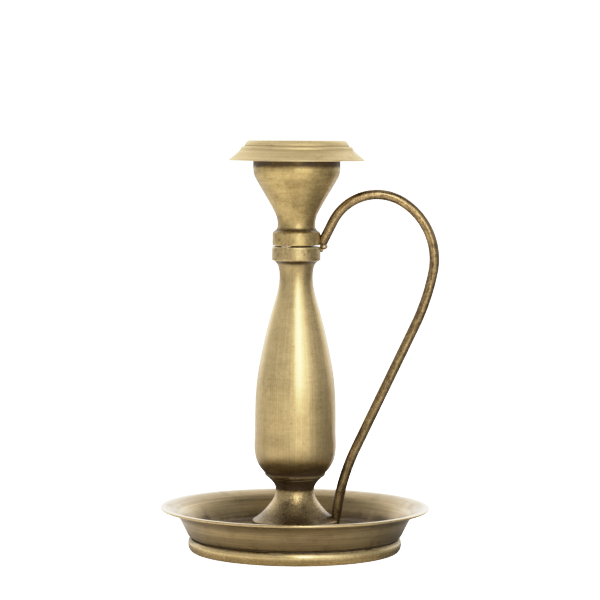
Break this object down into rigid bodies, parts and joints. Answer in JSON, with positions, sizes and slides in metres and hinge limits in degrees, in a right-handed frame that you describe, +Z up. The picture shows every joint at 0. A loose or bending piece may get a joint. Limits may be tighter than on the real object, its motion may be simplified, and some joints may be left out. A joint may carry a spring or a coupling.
{
  "type": "candlestick",
  "caption": "Antique brass chamber candlestick: saucer tray, turned baluster stem, candle cup with a lift-out drip cap, and a looped rod handle.",
  "frame": {"origin": "middle of the whole footprint at table level; the stem's axis stands 2.3 mm to -X of it, because the handle reaches further out than the tray", "axes": "+Z up along the stem; +X from the stem towards the handle; +Y across the handle's plane"},
  "size_m": [0.1558, 0.1512, 0.2309],
  "materials": {
    "tray_brass": "antiqued satin brass, fine brush lines round the tray, browned in the corners",
    "foot_brass": "antiqued cast brass with a fine sandy grain, dark in the neck",
    "stem_brass": "antiqued satin brass with fine polishing lines and brown mottling",
    "cap_brass": "pale satin brass, darker in the grooves between its rings",
    "socket_brass": "dull brass, browned inside",
    "handle_brass": "browned drawn brass rod, mottled, rubbed bright along the outside of the bends",
    "braze": "dull, lumpy brazing metal",
    "steel": "zinc-plated steel fasteners, slightly dull"
  },
  "bodies": {
    "stand": {"foot_ring": "tray_brass", "tray": "tray_brass", "stem_foot": "foot_brass", "stem": "stem_brass", "candle_cup": "stem_brass", "handle": "handle_brass", "handle_top_braze": "braze", "handle_foot_braze": "braze", "collar_solder_bead": "braze", "tie_rod": "steel", "washer": "steel", "lock_washer": "steel", "hex_nut": "steel"},
    "nozzle": {"drip_cap": "cap_brass", "candle_socket": "socket_brass"}
  },
  "joints": [
    {"name": "drip_cap_lift", "type": "slide", "parent": "stand", "child": "nozzle", "axis": [0, 0, 1], "range_m": [0, 0.04]}
  ]
}
